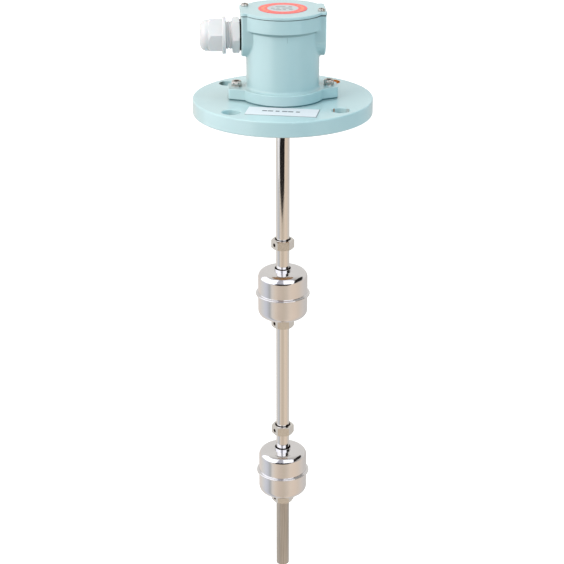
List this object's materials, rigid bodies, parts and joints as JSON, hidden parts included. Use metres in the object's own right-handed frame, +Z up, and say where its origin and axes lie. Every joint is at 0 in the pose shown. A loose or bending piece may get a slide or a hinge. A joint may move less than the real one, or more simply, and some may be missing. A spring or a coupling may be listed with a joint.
{
  "type": "float level switch",
  "caption": "Side-entry terminal head on a round bolted flange, with a straight stem below it that guides magnetic floats between fixed stop collars.",
  "frame": {"origin": "centre of the flange's underside, on the stem's axis", "axes": "+Z up along the stem towards the lid, cable gland towards -X, flange sticker towards -Y"},
  "size_m": [0.18, 0.18, 0.6342],
  "materials": {
    "flange_paint": "glossy",
    "stem_steel": "polished",
    "gasket_rubber": "matte",
    "head_paint": "glossy",
    "screw_steel": "satin",
    "label_plastic": "glossy",
    "sticker_plastic": "glossy",
    "gland_nylon": "satin",
    "board_laminate": "satin",
    "reed_glass": "clear",
    "terminal_plastic": "satin",
    "terminal_brass": "satin",
    "lead_insulation": "satin",
    "float_steel": "polished",
    "magnet_ferrite": "matte",
    "stop_steel": "satin"
  },
  "bodies": {
    "head_and_stem": {"flange": "flange_paint", "stem_tube": "stem_steel", "stem_end_plug": "stem_steel", "base_gasket": "gasket_rubber", "head_housing": "head_paint", "base_washers": "screw_steel", "base_screws": "screw_steel", "lid": "head_paint", "lid_gasket": "gasket_rubber", "lid_screws": "screw_steel", "lid_label": "label_plastic", "flange_label": "sticker_plastic", "gland_washer": "gasket_rubber", "gland_body": "gland_nylon", "gland_seal": "gasket_rubber", "stop_grub_screws": "screw_steel", "reed_board": "board_laminate", "reed_capsules": "reed_glass", "reed_blades": "screw_steel", "terminal_block": "terminal_plastic", "terminal_clamps": "terminal_brass", "terminal_screws": "screw_steel", "terminal_fixing_screws": "screw_steel", "earth_washer": "screw_steel", "earth_screw": "terminal_brass", "lead_wires": "lead_insulation", "upper_float_top_stop": "stop_steel", "upper_float_bottom_stop": "stop_steel", "lower_float_top_stop": "stop_steel", "lower_float_bottom_stop": "stop_steel"},
    "upper_float": {"upper_float_top_shell": "float_steel", "upper_float_bottom_shell": "float_steel", "upper_float_sleeve": "float_steel", "upper_float_magnet": "magnet_ferrite", "upper_float_clips": "screw_steel"},
    "lower_float": {"lower_float_top_shell": "float_steel", "lower_float_bottom_shell": "float_steel", "lower_float_sleeve": "float_steel", "lower_float_magnet": "magnet_ferrite", "lower_float_clips": "screw_steel"},
    "gland_clamp_ring": {"gland_slip_ring": "gland_nylon"},
    "gland_cap_nut": {"gland_nut": "gland_nylon"}
  },
  "joints": [
    {"name": "upper_float_slide", "type": "slide", "parent": "head_and_stem", "child": "upper_float", "axis": [0, 0, 1], "range_m": [0, 0.022]},
    {"name": "lower_float_slide", "type": "slide", "parent": "head_and_stem", "child": "lower_float", "axis": [0, 0, 1], "range_m": [0, 0.017]},
    {"name": "gland_ring_slide", "type": "slide", "parent": "head_and_stem", "child": "gland_clamp_ring", "axis": [1, 0, 0], "range_m": [-0.006, 0.003]},
    {"name": "gland_nut_turn", "type": "hinge", "parent": "gland_clamp_ring", "child": "gland_cap_nut", "pos_m": [-0.066, 0, 0.079], "axis": [1, 0, 0], "range_deg": [-720, 360]}
  ],
  "couplings": [
    {"joint": "gland_ring_slide", "follows": "gland_nut_turn", "m_per_rad": 0.00047746}
  ]
}
